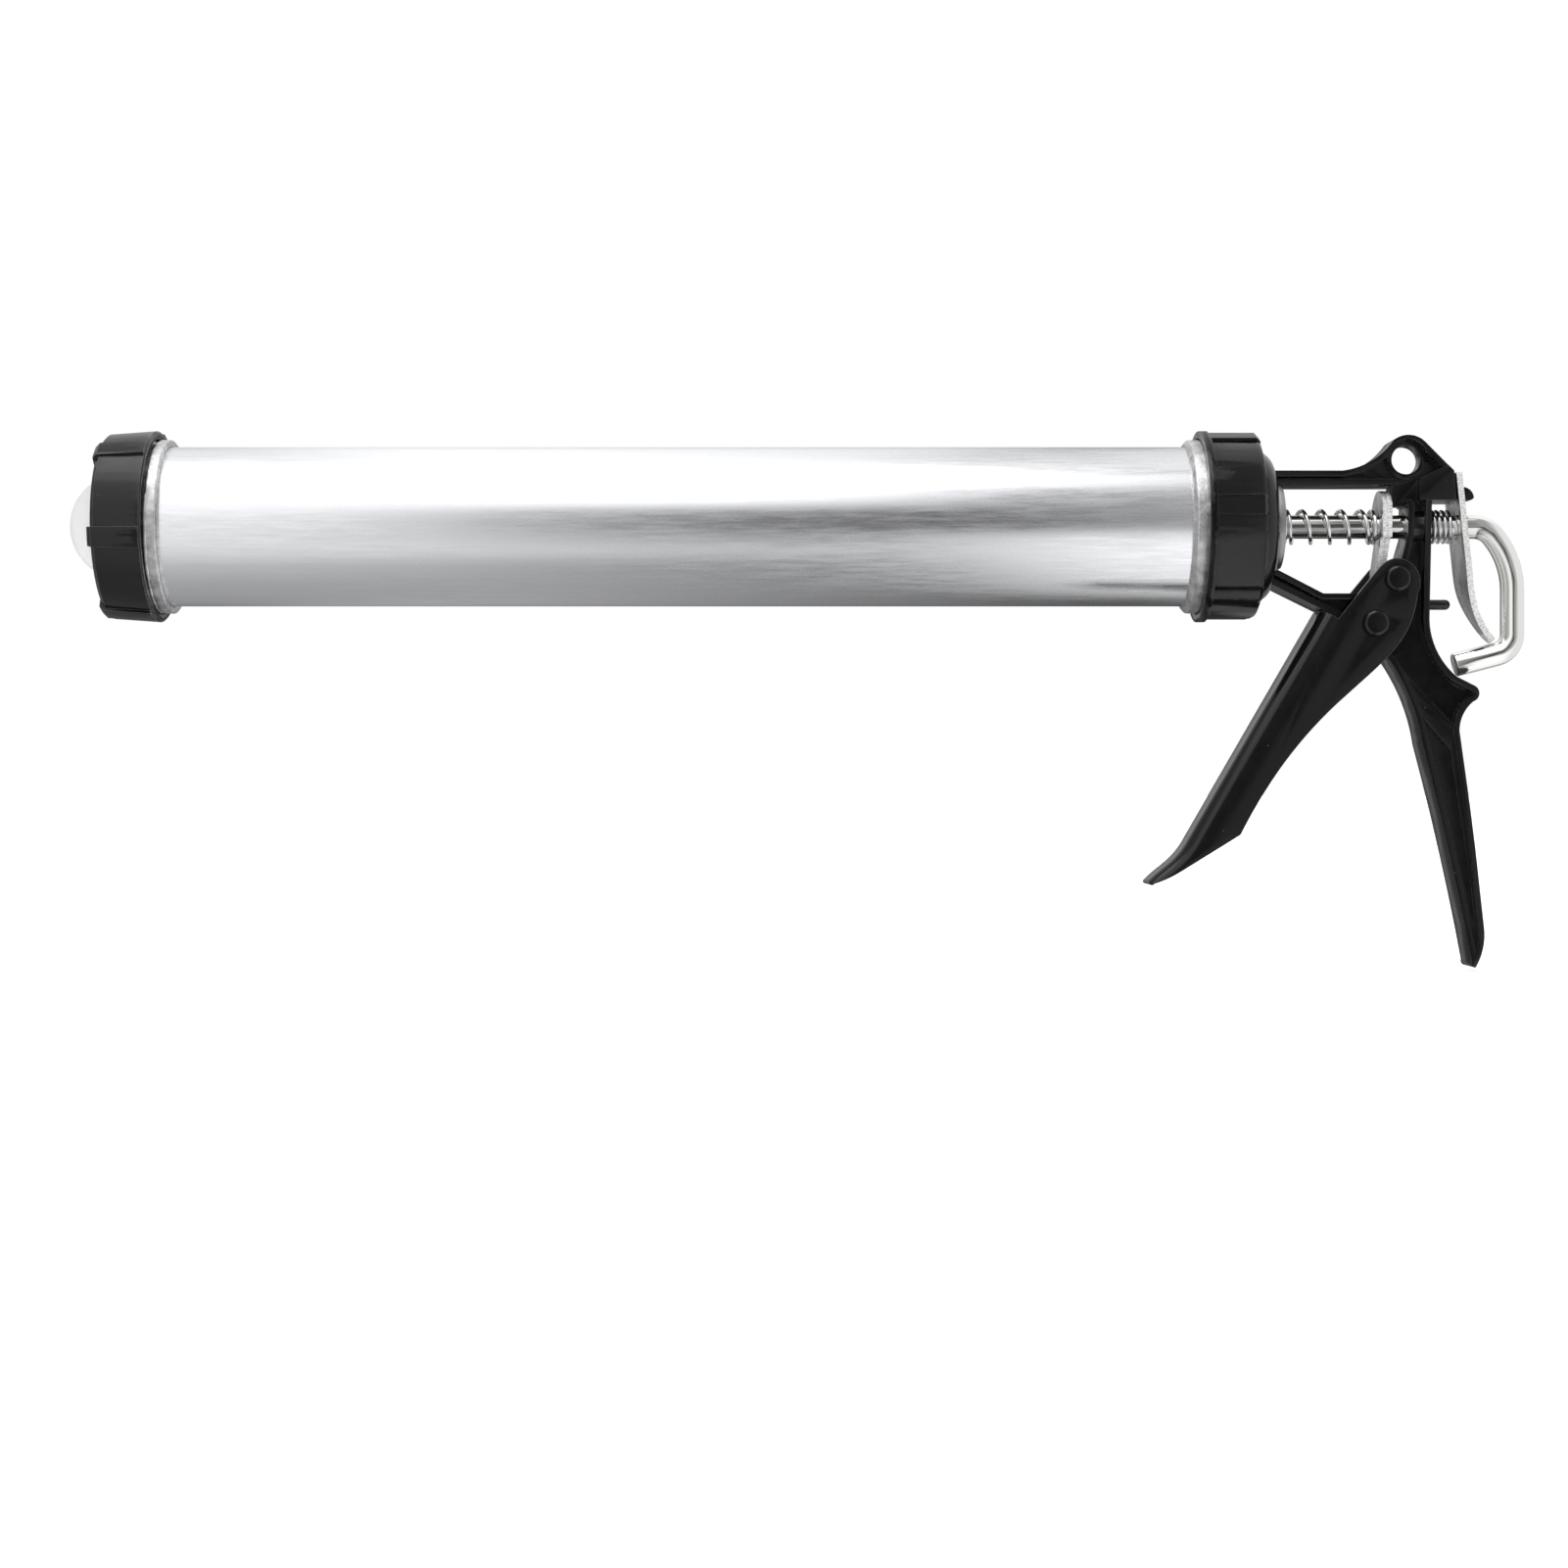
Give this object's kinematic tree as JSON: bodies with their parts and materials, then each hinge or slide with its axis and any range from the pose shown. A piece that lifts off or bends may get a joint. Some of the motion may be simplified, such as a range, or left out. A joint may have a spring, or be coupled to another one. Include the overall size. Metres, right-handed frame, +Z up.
{
  "type": "caulking gun",
  "caption": "Closed-barrel caulking gun: turning aluminium barrel, screwed caps, domed nozzle base, hooked rod, plunger, trigger, drive plates and release lever.",
  "frame": {"origin": "centre of the nozzle base's outlet, on the barrel's axis", "axes": "+X along the barrel towards the hand and the rod's hook, +Z up, away from the handle"},
  "size_m": [0.4942, 0.0666, 0.1821],
  "materials": {
    "black_paint": "gloss black paint on die-cast metal",
    "barrel_aluminium": "satin extruded tube with fine lengthwise lines",
    "cast_ring": "rough cast, machined thread",
    "zinc_steel": "bright zinc plated, stamped edges",
    "spring_steel": "bright drawn wire",
    "rod_steel": "bright drawn and plated rod",
    "bush_steel": "turned, satin grey",
    "white_plastic": "smooth moulded, slightly translucent white",
    "seal_plastic": "moulded black seal plastic"
  },
  "bodies": {
    "frame": {"handle_frame": "black_paint", "rod_guide_bush": "bush_steel", "swivel_flange": "zinc_steel", "swivel_screws": "zinc_steel", "trigger_pivot_rivet": "black_paint", "drive_spring": "spring_steel", "brake_spring": "spring_steel"},
    "barrel": {"barrel_tube": "barrel_aluminium", "front_thread_ring": "cast_ring", "rear_thread_ring": "cast_ring", "rear_cap": "black_paint"},
    "nozzle": {"nozzle_base": "white_plastic"},
    "front_cap": {"front_cap": "black_paint"},
    "trigger": {"trigger": "black_paint", "pusher_rivet": "black_paint", "pusher_roller": "zinc_steel"},
    "drive_plates": {"drive_plate_front": "zinc_steel", "drive_plate_rear": "zinc_steel"},
    "release_lever": {"release_lever": "zinc_steel"},
    "piston": {"piston_cup": "seal_plastic", "piston_disc": "zinc_steel"},
    "push_rod": {"push_rod": "rod_steel", "rod_end_washer": "zinc_steel", "rod_end_nut": "zinc_steel", "rod_rear_washer": "zinc_steel", "rod_rear_nut": "zinc_steel"}
  },
  "joints": [
    {"name": "barrel_swivel", "type": "hinge", "parent": "frame", "child": "barrel", "pos_m": [0.3985, 0, 0], "axis": [1, 0, 0], "continuous": true},
    {"name": "nozzle_slide", "type": "slide", "parent": "barrel", "child": "nozzle", "axis": [-1, 0, 0], "range_m": [0, 0.0121]},
    {"name": "cap_turn", "type": "hinge", "parent": "nozzle", "child": "front_cap", "pos_m": [0.02, 0, 0], "axis": [-1, 0, 0], "range_deg": [0, 1080]},
    {"name": "trigger_pull", "type": "hinge", "parent": "frame", "child": "trigger", "pos_m": [0.4418, 0, -0.0333], "axis": [0, -1, 0], "range_deg": [0, 42], "stiffness_Nm_per_rad": 0.3, "springref_deg": -31.51},
    {"name": "plate_slide", "type": "slide", "parent": "frame", "child": "drive_plates", "axis": [-1, 0, 0], "range_m": [0, 0.0125], "deforming": ["drive_spring"]},
    {"name": "release_press", "type": "hinge", "parent": "frame", "child": "release_lever", "pos_m": [0.46935, 0, 0.0085], "axis": [0, 1, 0], "range_deg": [0, 7.5], "stiffness_Nm_per_rad": 0.3, "springref_deg": -11.46, "deforming": ["brake_spring"]},
    {"name": "piston_slide", "type": "slide", "parent": "frame", "child": "piston", "axis": [1, 0, 0], "range_m": [0, 0.35]},
    {"name": "rod_swivel", "type": "hinge", "parent": "piston", "child": "push_rod", "pos_m": [0.03, 0, 0], "axis": [1, 0, 0], "continuous": true}
  ],
  "couplings": [
    {"joint": "nozzle_slide", "follows": "cap_turn", "m_per_rad": 0.00063662},
    {"joint": "plate_slide", "follows": "trigger_pull", "m_per_rad": 0.0164}
  ]
}
